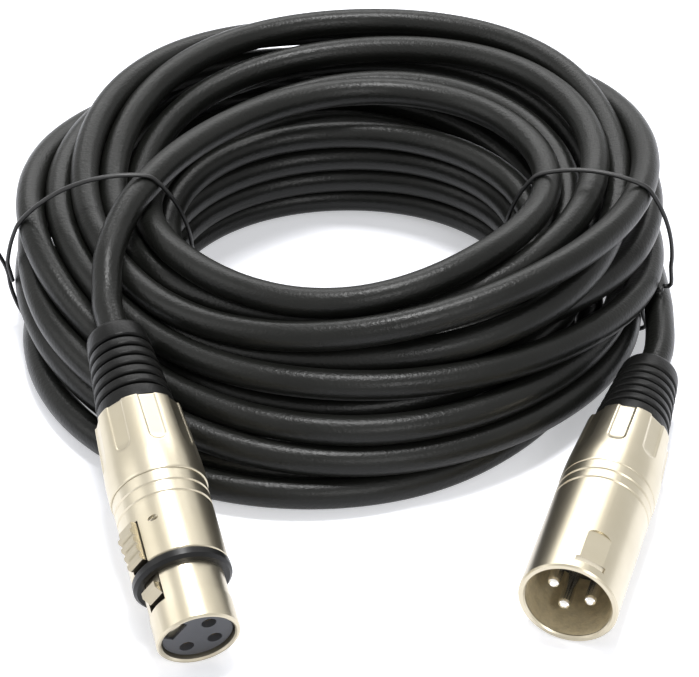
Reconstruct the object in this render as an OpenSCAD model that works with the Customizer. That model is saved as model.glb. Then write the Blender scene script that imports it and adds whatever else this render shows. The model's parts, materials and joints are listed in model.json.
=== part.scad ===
// Microphone lead with a three-pole plug and socket, wound in a round coil and tied twice.
// Each connector is drawn from its mating face (z = 0) to the rear, with its key towards +X.

/* [Cable] */
// Outer diameter of the cable jacket
cable_d = 6.2; // [5.8:0.1:6.6]
// Diameter of one insulated core inside the jacket
core_d = 1.2; // [0.8:0.1:1.4]

/* [Coil] */
// Radius at the middle of the innermost turns
coil_inner_r = 37; // [35:0.5:39]

/* [Connector bodies] */
// Outer diameter of the male shell
male_shell_d = 19; // [18.6:0.1:19.1]
// Length of the male shell from its rim to the rear sleeve
male_shell_len = 31; // [30.5:0.5:36]
// Wall of the male shell around its mouth
mouth_wall = 1.3; // [1.2:0.05:1.4]
// Depth of the male mouth down to the insert
mouth_depth = 16; // [15.5:0.5:18]
// Wall of the male shell around its threaded bore
male_thread_wall = 1; // [0.8:0.05:1.1]
// Length of the female nose in front of the seal ring
nose_len = 12.2; // [11.2:0.2:13]
// Outer diameter of the female body behind the seal ring
female_body_d = 18.6; // [18.4:0.1:19]
// Length of the female body behind the seal ring
female_body_len = 18.2; // [18:0.2:22]
// Wall of the female body around its threaded bore
female_thread_wall = 0.8; // [0.7:0.05:0.9]
// How far the nose, which enters a male mouth, lies below the female body
nose_step = 1.4; // [1.3:0.05:1.5]
// Wall of the nose around the female insert
nose_wall = 1; // [0.9:0.05:1.1]
// Width of a decorative groove around a shell
groove_w = 0.5; // [0.3:0.1:0.8]
// Depth of a decorative groove
groove_depth = 0.25; // [0.1:0.05:0.3]
// Distance between the two grooves
groove_step = 2.6; // [2:0.2:3]
// Chamfer on rims and edges
edge = 0.3; // [0.1:0.05:0.4]

/* [Seal ring] */
// Width of the seal ring along the socket
ring_w = 2.1; // [1.8:0.1:3]
// How far the seal ring stands out of the female body
ring_rise = 0.15; // [0.05:0.05:0.3]
// How far the ring's seat lies below the nose
ring_seat_step = 0.2; // [0.2:0.05:0.3]

/* [Contacts] */
// Radius of the circle that the contacts stand on
contact_circle_r = 3.81; // [3.7:0.01:3.9]
// Diameter of a contact pin
pin_d = 2.4; // [2.3:0.05:2.5]
// Diameter of a pin's root, held in the male insert
pin_root_d = 2.8; // [2.7:0.05:3]
// Distance from the mouth's rim to the pin tips
pin_setback = 2.8; // [2:0.2:4]
// Length of the rounded tip of a pin
pin_round = 0.9; // [0.7:0.1:1.1]
// Radial clearance of a pin in a socket contact
pin_gap = 0.025; // [0.015:0.005:0.04]
// Wall of a socket contact
socket_wall = 0.5; // [0.4:0.05:0.55]
// Diameter of the entry holes in the female insert
entry_d = 2.8; // [2.7:0.05:3]
// Length of a solder cup behind its insert
cup_len = 4; // [3:0.2:4.4]
// Outer diameter of a solder cup
cup_d = 3; // [2.8:0.1:3.2]
// Depth of the hollow in a solder cup
cup_depth = 3.2; // [2:0.2:3.6]
// Wall of a solder cup
cup_wall = 0.5; // [0.4:0.05:0.6]

/* [Inserts] */
// Diameter clearance of an insert in its shell
insert_gap = 0.2; // [0.1:0.05:0.3]
// How far the female insert lies below the nose's rim
insert_setback = 1; // [0.4:0.1:1.4]
// Thickness of the female insert's rear flange
insert_flange = 1.4; // [1:0.1:1.5]
// Width of the keyway in the female insert
keyway_w = 5; // [4.8:0.1:5.4]
// Distance from the middle to the keyway's floor
keyway_floor = 3.9; // [3.6:0.1:4]
// Width of the key block on the male insert
key_w = 3; // [2:0.2:4]
// Length of the key block
key_len = 3; // [2:0.2:4]
// Thickness of the key block
key_t = 3.5; // [3:0.1:3.7]
// Distance from the key block to the wall of the mouth
key_gap = 0.6; // [0.4:0.1:0.8]

/* [Latch] */
// Width of the latch lever
latch_w = 4.2; // [3.8:0.1:4.4]
// Thickness of the lever's bar
latch_t = 1.2; // [1:0.1:1.3]
// How far the latch tooth stands out of the nose
tooth_rise = 0.8; // [0.6:0.1:0.9]
// Length of the tooth's flat top
tooth_len = 1.2; // [0.8:0.1:1.6]
// How far the thumb button stands out of the body, at its rear
button_rise = 2; // [0.8:0.1:2.2]
// How much the thumb button falls towards its front
button_fall = 0.9; // [0.4:0.1:1]
// Height of the ribs on the thumb button
rib_height = 0.6; // [0.3:0.05:0.7]
// Number of ribs on the thumb button
button_ribs = 4; // [3:1:5]
// How far the latch tooth ends in front of the seal ring
tooth_setback = 2; // [1.6:0.1:2.4]
// Length of the slopes of the tooth, and of the lever's tip in front of it
tooth_slope = 1.2; // [1:0.1:1.4]
// How far the lever's tip ends behind the window's front edge
window_gap = 1.5; // [1:0.1:1.6]
// How far the pivot pin lies in front of the insert's flange
pivot_back = 1.6; // [1.4:0.1:1.8]
// Diameter of the latch's pivot pin
pivot_d = 1.2; // [1:0.1:1.3]
// Radial clearance of the lever on its pivot pin
pivot_gap = 0.05; // [0.03:0.01:0.08]
// Side clearance of the lever in its slot
slot_gap = 0.3; // [0.2:0.05:0.4]
// Thickness of the leaf spring under the lever
spring_t = 0.25; // [0.2:0.05:0.3]
// Width of the leaf spring
spring_w = 3; // [2:0.2:3.6]
// Length of the leaf spring's foot
spring_foot = 4.2; // [3.6:0.2:4.6]
// Width of the latch slot in the male shell
slot_w = 5.9; // [5:0.1:6.2]
// Height of the latch slot along the male shell
slot_h = 1.3; // [1.2:0.1:1.8]
// Width of the arched recess behind the latch slot
arch_w = 6.6; // [6.4:0.1:7]
// Length of the arched recess
arch_len = 8; // [7:0.5:9]
// Depth of the arched recess
arch_depth = 0.3; // [0.2:0.05:0.4]

/* [Rear sleeve] */
// Length of the rear sleeve behind its front edge
sleeve_len = 19; // [17:0.5:20]
// How far the rear sleeve stands out of the female body
female_sleeve_step = 0.3; // [0.2:0.05:0.5]
// How far the rear sleeve stands out of the male shell
male_sleeve_step = 0.1; // [0.05:0.05:0.4]
// Wall of the sleeve's rear lip
lip_wall = 1.6; // [0.8:0.1:1.9]
// Length of the sleeve's straight front stretch
sleeve_straight = 4.5; // [3:0.5:5.5]
// Length of the sleeve's screwed neck inside the shell
neck_len = 6.9; // [6.2:0.1:6.9]
// Wall of the screwed neck
neck_wall = 0.85; // [0.7:0.05:0.9]
// Pitch of the screw thread between sleeve and shell
thread_pitch = 1.5; // [1:0.1:1.6]
// Number of finger flutes
flutes = 8; // [6:1:10]
// Width of a finger flute
flute_w = 3.8; // [3:0.1:4.2]
// Length of a finger flute
flute_len = 12; // [10:0.5:12.5]
// Depth of a finger flute
flute_depth = 0.4; // [0.2:0.05:0.45]
// Radial clearance of parts that turn or slide in each other
run_gap = 0.08; // [0.05:0.01:0.1]

/* [Boot] */
// Length of the boot that shows behind the sleeve
boot_len = 21.5; // [20:0.5:24]
// How far the boot's shoulder behind the sleeve stands out of its neck
boot_shoulder = 0.9; // [0.5:0.1:1.1]
// Wall of the boot at its rear end
boot_wall = 2.62; // [2.3:0.04:2.9]
// Number of grooves around the boot
boot_grooves = 6; // [4:1:7]
// Depth of a groove in the boot
boot_groove_depth = 0.7; // [0.4:0.1:0.9]
// Width of a groove in the boot
boot_groove_w = 0.9; // [0.6:0.1:1.1]
// Length of the boot's smooth stretch in front of its grooves
boot_start = 3.2; // [2.6:0.2:3.6]
// Length of the boot without grooves, at both ends together
boot_plain = 6; // [5.5:0.5:7.5]
// Rounding of the boot's rear end
boot_round = 1.6; // [1.2:0.1:2]
// Thickness of the boot's flange inside the sleeve
boot_flange = 2; // [1.5:0.1:2.2]
// How far the flange stands out of the boot
flange_rise = 0.49; // [0.4:0.01:0.6]
// How far the sleeve's rear lip overlaps the flange
boot_lip = 4.4; // [4:0.1:5]

/* [Chuck] */
// Length of the chuck's front ring
chuck_ring = 4.5; // [4:0.1:5]
// Length of the chuck's jaws
chuck_jaws = 8; // [6:0.5:8]
// Wall of the jaws at their tips
jaw_wall = 2.1; // [1.7:0.1:2.3]
// Width of the slots between the jaws
chuck_slot = 1; // [0.6:0.1:1.4]
// Wall of the front ring, around the spreading cores
chuck_wall = 2.12; // [1.9:0.02:2.4]
// Radial clearance of the chuck in the sleeve's neck
chuck_gap = 0.15; // [0.05:0.05:0.2]

/* [Ties] */
// Thickness of a twist tie
tie_d = 1.2; // [0.8:0.1:1.4]

/* [Resting place] */
// Slope of the female connector, nose down
female_tilt = 13.7; // [12:0.1:15]
// Heading of the female connector, turned about the vertical
female_heading = 16; // [12:0.5:20]
// Roll of the female connector about its own axis
female_roll = -58; // [-70:1:-50]
// Heading of the male connector, turned about the vertical
male_heading = -18; // [-22:0.5:-14]
// Roll of the male connector about its own axis
male_roll = 20; // [0:1:40]

/* [Hidden] */
$fn = 64;

cut = 1; // how far a cutting shape runs past what it cuts
cable_r = cable_d / 2;

// Diameters that follow the two shells
mouth_d = male_shell_d - 2 * mouth_wall;
male_thread_d = male_shell_d - 2 * male_thread_wall;
male_sleeve_d = male_shell_d + 2 * male_sleeve_step;
female_thread_d = female_body_d - 2 * female_thread_wall;
female_sleeve_d = female_body_d + 2 * female_sleeve_step;
nose_d = female_body_d - 2 * nose_step;
nose_bore_d = nose_d - 2 * nose_wall;
ring_d = female_body_d + 2 * ring_rise;

// Lengths along a connector, from its mating face
female_step = nose_len + ring_w + female_body_len;
male_step = male_shell_len;
neck_gap = 0.2; // from the inserts to the neck of the sleeve
cup_base = neck_len + neck_gap; // the inserts end this far in front of the sleeve
female_bore_z = female_step - cup_base - insert_flange;
male_insert_len = male_step - cup_base - mouth_depth;
rear_len = sleeve_len + boot_len;
female_len = female_step + rear_len;
male_len = male_step + rear_len;
sleeve_travel = 4 * thread_pitch; // four turns take the neck out of its shell
seat_gap = 0.05; // end play between the sleeve and what it meets

// Neck, bores, boot and lip of a rear sleeve, for the thread of diameter bore_d that it screws into
function neck_r(bore_d) = bore_d / 2 - run_gap;
function flange_bore_r(bore_d) = neck_r(bore_d) - neck_wall;
function flange_r(bore_d) = flange_bore_r(bore_d) - run_gap;
function boot_r(bore_d) = flange_r(bore_d) - flange_rise;
function shoulder_r(bore_d) = boot_r(bore_d) + boot_shoulder;
function lip_bore_r(bore_d) = boot_r(bore_d) + run_gap;
function lip_r(bore_d) = lip_bore_r(bore_d) + lip_wall;
lip_z = sleeve_len - boot_lip;
boot_bore_r = cable_r + run_gap;
straight_run = 8; // cable that stays straight behind a boot, so that the boot can slide back
turn_gap = 1.2; // what a sleeve or boot leaves free, across it, between the turns

// Chuck and cable end, measured from the sleeve's front edge
chuck_sink = 2; // the chuck begins this far inside the neck
chuck_bite = chuck_ring - chuck_sink;
chuck_rear = chuck_bite + chuck_jaws;
chuck_room = 2.5; // behind the jaws, inside the boot
bite_slope = 1; // chamfer behind the chuck's ring
core_gap = 0.5; // from the jacket's end to the jaws
jacket_end = chuck_bite - core_gap;
jaw_r = cable_r + jaw_wall;
core_spread_r = 1.5; // circle on which the cores leave the jacket

// Latch
ring_seat_r = nose_d / 2 - ring_seat_step;
bar_sink = 0.12; // from the seal ring to the corners of the bar
bar_top = sqrt(pow(ring_seat_r, 2) - pow(latch_w / 2, 2)) - bar_sink;
bar_floor = bar_top - latch_t;
pivot_x = bar_top + pivot_d / 4;
pivot_z = female_bore_z - pivot_back;
slot_end_z = pivot_z + pivot_d;
button_z = nose_len + ring_w + rib_height;
button_end = slot_end_z - slot_gap;
button_top = female_body_d / 2 + button_rise;
function top_at(z) = button_top - button_fall * (button_end - z) / (button_end - button_z);
tooth_top = nose_d / 2 + tooth_rise;
tooth_rear = nose_len - tooth_setback;
tooth_front = tooth_rear - tooth_len;
bar_tip = tooth_front - tooth_slope;
window_z = bar_tip - window_gap;
land_len = window_z - edge; // smooth front of the nose, full size
latch_slot_w = latch_w + 2 * slot_gap;

// Male latch slot: its front edge lies where a mated tooth ends
mated_slot_z = nose_len - tooth_rear;

// Socket contacts take the whole length of a pin
entry_len = 1.5; // from the face of the insert to the socket contacts
tip_room = 2; // behind the tip of a seated pin
socket_front = insert_setback + entry_len;
socket_bore_r = pin_d / 2 + pin_gap;
socket_r = socket_bore_r + socket_wall;
socket_depth = mouth_depth - pin_setback + tip_room;

// Directions of the three contacts, counted from the key
contact_angles = [90, 270, 180];

// Where the cable leaves each boot. The coil's middle is the origin of these points.
female_exit = [-45.4, -43.7, nose_d / 2 * cos(female_tilt) + female_len * sin(female_tilt)];
male_exit = [63.9, -36.6, male_sleeve_d / 2];

// Turns in the section of the coil, as [across, up] in cable diameters
inner_wall = [[0, 0.5], [0.03, 1.5], [0.2, 2.48], [0.45, 3.45], [0.75, 4.4]];
top_row = [[1.5, 5.26], [2.5, 5.24], [3.45, 4.98]];
outer_wall = [[4.23, 4.29], [4.66, 3.39], [4.48, 2.4], [4.24, 1.44]];
outer_foot = 4.82;
bottom_row = [for (i = [0 : 4]) [outer_foot * (1 - i / 5), 0.5]];
coil_outer_r = coil_inner_r + (outer_foot + 0.5) * cable_d;

// Routes of the two leads after their straight stretch
female_route = [[-48.6, -25, 29.4], [-47, -17.5, 32], [-44.5, -10.5, 34], [-42.5, -3, 34.5], [-41, 5, 33]];
male_route = [
    [67.6, -21, 9.5], [68.1, -13, 9.1], [68.1, -5, 8.6], [67.7, 5, 8], [66.2, 15, 7.5],
    [63.5, 24, 7.2], [59.5, 32, 7], [54, 38.5, 7]
];

// Ties in their own planes, as [out from the innermost turn, up]: one end, round the turns,
// the other end
left_loop = [
    [38.2, 18.5], [36.2, 15.5], [34.5, 12], [34, 4], [31, 0.6], [13, 0.6], [-2, 0.6], [-4, 3],
    [-4, 11], [-1.5, 24], [1.5, 34], [5, 38], [9, 37.6], [16, 36.4], [23.5, 34.2], [29, 29],
    [33, 22], [34.5, 15], [36, 12], [37.2, 8.5]
];
right_loop = [
    [34, 13.6], [31.6, 12.2], [30.2, 9.2], [32.4, 6.6], [35, 3.4], [33.5, 0.6], [13, 0.6],
    [-1.6, 0.6], [-3.2, 3], [-3, 9], [-1.9, 15], [-0.4, 21], [1.6, 28], [5.5, 34.4], [10, 37],
    [17, 37.2], [24, 35.4], [30, 30.4], [34, 23.5], [35.2, 18.5], [36.2, 15], [35.4, 12.6]
];
left_foot = [0, 0, 0];
right_foot = [0, 6.2, 0];
left_bearing = 184;
right_bearing = -14;

// The origin is under the middle of the whole object
nose_reach = female_len * cos(female_tilt) * cos(female_heading) + nose_d / 2 * sin(female_heading);
front_y = female_exit[1] - nose_reach;
tie_reach = [-38.6, 34.8]; // the ties' outermost points, from the innermost turns
middle = [(tie_reach[0] + tie_reach[1]) / 2, (front_y + coil_outer_r) / 2, 0];

function unit(v) = v / norm(v);
function along(heading, tilt) = [
    -sin(heading) * cos(tilt), cos(heading) * cos(tilt), sin(tilt)
];
function turn_at(t) = [coil_inner_r + t[0] * cable_d, t[1] * cable_d];
function bearing(v) = atan2(v[1], v[0]);
function overlap_angle(v) = acos(min(1, norm(v) / cable_d));

// Outline of touching turns, listed clockwise: each turn gives the arc between its neighbours
function lobes(turns) =
    let (n = len(turns))
    [
        for (i = [0 : n - 1])
        let (
            back = turns[(i + n - 1) % n] - turns[i],
            ahead = turns[(i + 1) % n] - turns[i],
            from = bearing(back) - overlap_angle(back),
            to = bearing(ahead) + overlap_angle(ahead),
            sweep = (from - to + 2 * 360) % 360,
            steps = 2 * ceil(sweep / 60)
        )
        for (k = [0 : steps - 1])
        let (a = from - sweep * k / steps)
        turns[i] + cable_r * [cos(a), sin(a)]
    ];
function tangent(path, i) = unit(path[min(i + 1, len(path) - 1)] - path[max(i - 1, 0)]);
function ring_points(path, i, r, sides, lean) =
    let (
        t = tangent(path, i),
        a = unit(cross(t, lean)),
        b = cross(a, t)
    )
    [for (k = [0 : sides - 1]) path[i] + r * (cos(360 * k / sides) * a + sin(360 * k / sides) * b)];

// Round tube along a path. lean is a direction that no part of the path runs along.
module tube(path, r, sides, lean = [0, 0, 1]) {
    last = len(path) - 1;
    points = [for (i = [0 : last]) each ring_points(path, i, r, sides, lean)];
    walls = [
        for (i = [0 : last - 1]) for (k = [0 : sides - 1])
        let (a = i * sides, b = a + sides, j = (k + 1) % sides)
        [a + k, b + k, b + j, a + j]
    ];
    start = [for (k = [0 : sides - 1]) k];
    end = [for (k = [sides - 1 : -1 : 0]) last * sides + k];
    polyhedron(points = points, faces = concat([start], walls, [end]), convexity = 6);
}

// Turned body from a list of [radius, length] points
module turned(outline) {
    rotate_extrude() polygon(outline);
}

module at_exit(exit, heading, tilt, roll, length) {
    translate(exit - middle)
        rotate([0, 0, heading])
        rotate([tilt - 90, 0, 0])
        rotate([0, 0, roll - 90])
        translate([0, 0, -length])
        children();
}

module place_female() {
    at_exit(female_exit, female_heading, female_tilt, female_roll, female_len) children();
}

module place_male() {
    at_exit(male_exit, male_heading, 0, male_roll, male_len) children();
}

module at_contact(i) {
    rotate([0, 0, contact_angles[i]]) translate([contact_circle_r, 0, 0]) children();
}

// Groove around a body of radius r, with its middle at z
module ring_groove(r, z) {
    rotate_extrude() translate([r, z]) polygon([
        [-groove_depth, -groove_w / 4], [-groove_depth, groove_w / 4],
        [cut, groove_w / 2 + cut], [cut, -groove_w / 2 - cut]
    ]);
}

module shell_grooves(r, step) {
    ring_groove(r, step - groove_step);
    ring_groove(r, step - 2 * groove_step);
}

// Rear parts, drawn from the sleeve's front edge (z = 0)
module rear_sleeve(front_d, bore_d) {
    front_r = front_d / 2;
    rear_r = lip_r(bore_d);
    screw_r = neck_r(bore_d);
    inner_r = flange_bore_r(bore_d);
    taper = atan((front_r - rear_r) / (sleeve_len - sleeve_straight));
    difference() {
        turned([
            [inner_r, -neck_len], [screw_r - edge, -neck_len], [screw_r, -neck_len + edge],
            [screw_r, seat_gap], [front_r - edge, seat_gap], [front_r, seat_gap + edge],
            [front_r, sleeve_straight], [rear_r, sleeve_len - edge], [rear_r - edge, sleeve_len],
            [lip_bore_r(bore_d), sleeve_len], [lip_bore_r(bore_d), lip_z], [inner_r, lip_z]
        ]);
        for (i = [0 : flutes - 1]) rotate([0, 0, 360 * (i + 0.5) / flutes])
            translate([rear_r - flute_depth, 0, sleeve_len])
            rotate([0, 90 - taper, 0])
            linear_extrude(cut * 3) {
                translate([-cut, -flute_w / 2]) square([flute_len - flute_w / 2 + cut, flute_w]);
                translate([flute_len - flute_w / 2, 0]) circle(d = flute_w);
            }
    }
}

// Boot, drawn from the sleeve's front edge
module boot_body(bore_d) {
    inner_r = boot_r(bore_d);
    front_r = shoulder_r(bore_d);
    front_z = sleeve_len + seat_gap;
    rear_r = boot_bore_r + boot_wall;
    end_z = rear_len;
    first = sleeve_len + boot_start;
    nose = boot_round;
    pitch = (boot_len - boot_plain) / boot_grooves;
    flange_z = lip_z - seat_gap;
    function wall_r(z) = front_r + (rear_r - front_r) * (z - sleeve_len) / boot_len;
    turned(concat(
        [
            [jaw_r + bite_slope, flange_z - boot_flange],
            [flange_r(bore_d), flange_z - boot_flange],
            [flange_r(bore_d), flange_z], [inner_r, flange_z], [inner_r, front_z],
            [front_r - edge, front_z], [front_r, front_z + edge]
        ],
        [
            for (i = [0 : boot_grooves - 1])
            let (z = first + i * pitch, r = wall_r(z), d = boot_groove_depth, w = boot_groove_w)
            each [[r, z], [r - d, z + w * 0.3], [r - d, z + w * 0.7], [r, z + w]]
        ],
        [
            [rear_r, end_z - nose], [rear_r - nose * 0.2, end_z - nose * 0.55],
            [rear_r - nose * 0.55, end_z - nose * 0.15], [rear_r - nose, end_z],
            [boot_bore_r, end_z], [boot_bore_r, chuck_rear + chuck_room + jaw_r - boot_bore_r],
            [jaw_r, chuck_rear + chuck_room]
        ]
    ));
}

// Slotted collet that grips the cable, drawn from the sleeve's front edge
module chuck_body(bore_d) {
    ring_r = flange_bore_r(bore_d) - chuck_gap;
    open_r = ring_r - chuck_wall;
    difference() {
        turned([
            [open_r, -chuck_sink], [ring_r, -chuck_sink], [ring_r, chuck_bite],
            [ring_r - bite_slope / 2, chuck_bite + bite_slope], [jaw_r, chuck_rear],
            [cable_r, chuck_rear], [cable_r, chuck_bite], [open_r, chuck_bite]
        ]);
        for (a = [0, 90]) rotate([0, 0, a])
            translate([-bore_d / 2, -chuck_slot / 2, chuck_bite + 1.5 * bite_slope])
            cube([bore_d, chuck_slot, chuck_jaws]);
    }
}

// Straight stretch of the cable through chuck and boot
module cable_end_body() {
    translate([0, 0, jacket_end]) cylinder(h = rear_len - jacket_end, r = cable_r);
}

// Three cores from the solder cups to the jacket, drawn from the sleeve's front edge
module cores_body() {
    floor_z = cup_len - cup_depth - cup_base;
    for (a = contact_angles) rotate([0, 0, a]) tube([
        [contact_circle_r, 0, floor_z], [contact_circle_r, 0, floor_z + cup_depth],
        [(contact_circle_r + core_spread_r) / 2, 0, (floor_z + cup_depth + jacket_end) / 2],
        [core_spread_r, 0, jacket_end - core_d], [core_spread_r, 0, jacket_end]
    ], core_d / 2, 8, [0, 1, 0]);
}

// Solder cup of a contact, open on its outer side
module solder_cup() {
    floor_z = cup_len - cup_depth;
    difference() {
        cylinder(h = cup_len, d = cup_d);
        translate([0, 0, floor_z]) cylinder(h = cup_len, r = cup_d / 2 - cup_wall);
        translate([0, -cup_d, floor_z + 2 * cup_wall]) cube([cup_d, 2 * cup_d, cup_len]);
    }
}

module female_shell() color([0.80, 0.77, 0.70]) place_female() difference() {
    body_r = female_body_d / 2;
    bore_r = nose_bore_d / 2;
    body_z = nose_len + ring_w;
    turned([
        [bore_r, edge], [bore_r + edge, 0], [nose_d / 2 - edge, 0], [nose_d / 2, edge],
        [nose_d / 2, land_len], [ring_seat_r, land_len], [ring_seat_r, body_z],
        [body_r - edge, body_z], [body_r, body_z + edge], [body_r, female_step],
        [female_thread_d / 2, female_step], [female_thread_d / 2, female_bore_z],
        [bore_r, female_bore_z]
    ]);
    shell_grooves(body_r, female_step);
    // window for the latch from the nose to behind the button
    translate([bar_floor - cut, -latch_slot_w / 2, window_z])
        cube([body_r, latch_slot_w, slot_end_z - window_z]);
    translate([pivot_x, 0, pivot_z]) rotate([90, 0, 0])
        cylinder(h = female_body_d, d = pivot_d, center = true);
}

module female_insert() color([0.24, 0.25, 0.27]) place_female() {
    r = (nose_bore_d - insert_gap) / 2;
    rear_r = (female_thread_d - insert_gap) / 2;
    end_z = female_step - cup_base;
    difference() {
        turned([
            [0, insert_setback], [r - edge, insert_setback], [r, insert_setback + edge],
            [r, female_bore_z], [rear_r, female_bore_z], [rear_r, end_z], [0, end_z]
        ]);
        translate([keyway_floor, -keyway_w / 2, 0]) cube([rear_r, keyway_w, end_z + cut]);
        for (i = [0 : 2]) at_contact(i) {
            cylinder(h = end_z + cut, d = entry_d);
            translate([0, 0, socket_front]) cylinder(h = end_z, r = socket_r);
        }
    }
}

module socket_contact(i) color([0.83, 0.68, 0.35]) place_female() at_contact(i) {
    end_z = female_step - cup_base;
    difference() {
        translate([0, 0, socket_front]) cylinder(h = end_z - socket_front, r = socket_r);
        cylinder(h = socket_front + socket_depth, r = socket_bore_r);
    }
    translate([0, 0, end_z]) solder_cup();
}

module seal_ring() color([0.06, 0.06, 0.06]) place_female() turned([
    [ring_seat_r, nose_len], [ring_d / 2 - edge * 2, nose_len], [ring_d / 2, nose_len + edge * 2],
    [ring_d / 2, nose_len + ring_w - edge], [ring_d / 2 - edge, nose_len + ring_w],
    [ring_seat_r, nose_len + ring_w]
]);

// Lever with its tooth in front, the ribbed button above it and the eye of its pivot behind
module latch() color([0.80, 0.77, 0.70]) place_female() {
    pitch = (button_end - button_z) / (button_ribs + 0.5);
    difference() {
        rotate([90, 0, 0]) linear_extrude(latch_w, center = true) {
            polygon(concat(
                [
                    [bar_floor, bar_tip], [bar_top, bar_tip], [tooth_top, tooth_front],
                    [tooth_top, tooth_rear], [bar_top, tooth_rear], [bar_top, button_z]
                ],
                [
                    for (i = [0 : button_ribs - 1])
                    let (z = button_z + i * pitch, top = top_at(z), low = top - rib_height)
                    each [
                        [low, z], [top, z + pitch * 0.2], [top, z + pitch * 0.6],
                        [low, z + pitch * 0.8]
                    ]
                ],
                [[button_top - 1.5 * rib_height, button_end], [bar_floor, button_end]]
            ));
        }
        translate([pivot_x, 0, pivot_z]) rotate([90, 0, 0])
            cylinder(h = 2 * latch_w, r = pivot_d / 2 + pivot_gap, center = true);
    }
}

module latch_pivot() color([0.6, 0.6, 0.62]) place_female() {
    half = sqrt(pow(female_body_d / 2, 2) - pow(pivot_x + pivot_d / 2, 2));
    translate([pivot_x, 0, pivot_z]) rotate([90, 0, 0])
        cylinder(h = 2 * half - 4 * pivot_gap, d = pivot_d, center = true);
}

// Bent leaf that lies on the keyway's floor and lifts the lever
module latch_spring() color([0.55, 0.55, 0.57]) place_female() {
    heel = slot_end_z;
    knee = heel - spring_foot;
    tip = button_z - rib_height;
    pad = 4 * spring_t; // flat end that lies under the lever
    low = keyway_floor;
    high = bar_floor - pivot_gap / 2;
    rotate([90, 0, 0]) linear_extrude(spring_w, center = true) polygon([
        [low, heel], [low, knee], [high - spring_t, tip + pad], [high - spring_t, tip],
        [high, tip], [high, tip + pad], [low + spring_t, knee + spring_t], [low + spring_t, heel]
    ]);
}

module female_cores() color([0.7, 0.15, 0.12]) place_female()
    translate([0, 0, female_step]) cores_body();

module female_chuck() color([0.85, 0.85, 0.82]) place_female()
    translate([0, 0, female_step]) chuck_body(female_thread_d);

module female_cable_end() color([0.08, 0.08, 0.08]) place_female()
    translate([0, 0, female_step]) cable_end_body();

module female_sleeve() color([0.80, 0.77, 0.70]) place_female()
    translate([0, 0, female_step]) rear_sleeve(female_sleeve_d, female_thread_d);

module female_boot() color([0.10, 0.10, 0.10]) place_female()
    translate([0, 0, female_step]) boot_body(female_thread_d);

module male_shell() color([0.80, 0.77, 0.70]) place_male() difference() {
    r = male_shell_d / 2;
    mouth_r = mouth_d / 2;
    turned([
        [mouth_r, edge], [mouth_r + edge, 0], [r - edge, 0], [r, edge], [r, male_step],
        [male_thread_d / 2, male_step], [male_thread_d / 2, mouth_depth], [mouth_r, mouth_depth]
    ]);
    shell_grooves(r, male_step);
    translate([mouth_r / 2, -slot_w / 2, mated_slot_z]) cube([r, slot_w, slot_h]);
    // shallow arched recess behind the slot
    translate([r - arch_depth, 0, mated_slot_z + slot_h]) rotate([0, 90, 0])
        linear_extrude(cut) {
            translate([-arch_len + arch_w / 2, -arch_w / 2]) square([arch_len - arch_w / 2, arch_w]);
            translate([-arch_len + arch_w / 2, 0]) circle(d = arch_w);
        }
}

module male_insert() color([0.10, 0.10, 0.11]) place_male() {
    r = (male_thread_d - insert_gap / 2) / 2;
    difference() {
        translate([0, 0, mouth_depth]) cylinder(h = male_insert_len, r = r);
        for (i = [0 : 2]) at_contact(i) cylinder(h = male_step, d = pin_root_d);
    }
    translate([mouth_d / 2 - key_gap - key_t, -key_w / 2, mouth_depth - key_len])
        cube([key_t, key_w, key_len]);
}

module contact_pin(i) color([0.82, 0.80, 0.76]) place_male() at_contact(i) {
    r = pin_d / 2;
    end_z = mouth_depth + male_insert_len;
    turned([
        [0, pin_setback], [r * 0.5, pin_setback + pin_round / 9],
        [r * 0.85, pin_setback + pin_round * 4 / 9],
        [r, pin_setback + pin_round], [r, mouth_depth], [pin_root_d / 2, mouth_depth],
        [pin_root_d / 2, end_z], [0, end_z]
    ]);
    translate([0, 0, end_z]) solder_cup();
}

module male_cores() color([0.7, 0.15, 0.12]) place_male()
    translate([0, 0, male_step]) cores_body();

module male_chuck() color([0.85, 0.85, 0.82]) place_male()
    translate([0, 0, male_step]) chuck_body(male_thread_d);

module male_cable_end() color([0.08, 0.08, 0.08]) place_male()
    translate([0, 0, male_step]) cable_end_body();

module male_sleeve() color([0.80, 0.77, 0.70]) place_male()
    translate([0, 0, male_step]) rear_sleeve(male_sleeve_d, male_thread_d);

module male_boot() color([0.10, 0.10, 0.10]) place_male()
    translate([0, 0, male_step]) boot_body(male_thread_d);

// Room that the turns leave for a sleeve and boot, also when they are drawn back
module rear_room(sleeve_d, bore_d) {
    cylinder(h = sleeve_len + sleeve_travel, d = sleeve_d + turn_gap);
    cylinder(h = rear_len + sleeve_travel + turn_gap, d = 2 * shoulder_r(bore_d) + turn_gap);
}

// The female boot lies in a channel that is open above it
module boot_channel() {
    width = 2 * shoulder_r(female_thread_d) + turn_gap;
    rear_room(female_sleeve_d, female_thread_d);
    translate([-width / 2, -1.5 * width, 0])
        cube([width, 1.5 * width, rear_len + sleeve_travel + turn_gap]);
}

// Outer shape of the wound turns
module cable_coil() color([0.08, 0.08, 0.08]) difference() {
    section = concat(inner_wall, top_row, outer_wall, [for (i = [0 : 3]) bottom_row[i]]);
    translate(-middle) rotate_extrude($fn = 96) polygon(lobes([for (t = section) turn_at(t)]));
    at_exit(female_exit, female_heading, female_tilt, 90, rear_len) boot_channel();
    at_exit(male_exit, male_heading, 0, 90, rear_len) rear_room(male_sleeve_d, male_thread_d);
}

// Cable from the boot to the coil. It leaves the boot straight.
module lead(exit, heading, tilt, route) {
    bend = exit + straight_run * along(heading, tilt);
    translate(-middle) tube(concat([exit, (exit + bend) / 2, bend], route), cable_r, 12);
}

module female_lead() color([0.08, 0.08, 0.08])
    lead(female_exit, female_heading, female_tilt, female_route);

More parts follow.
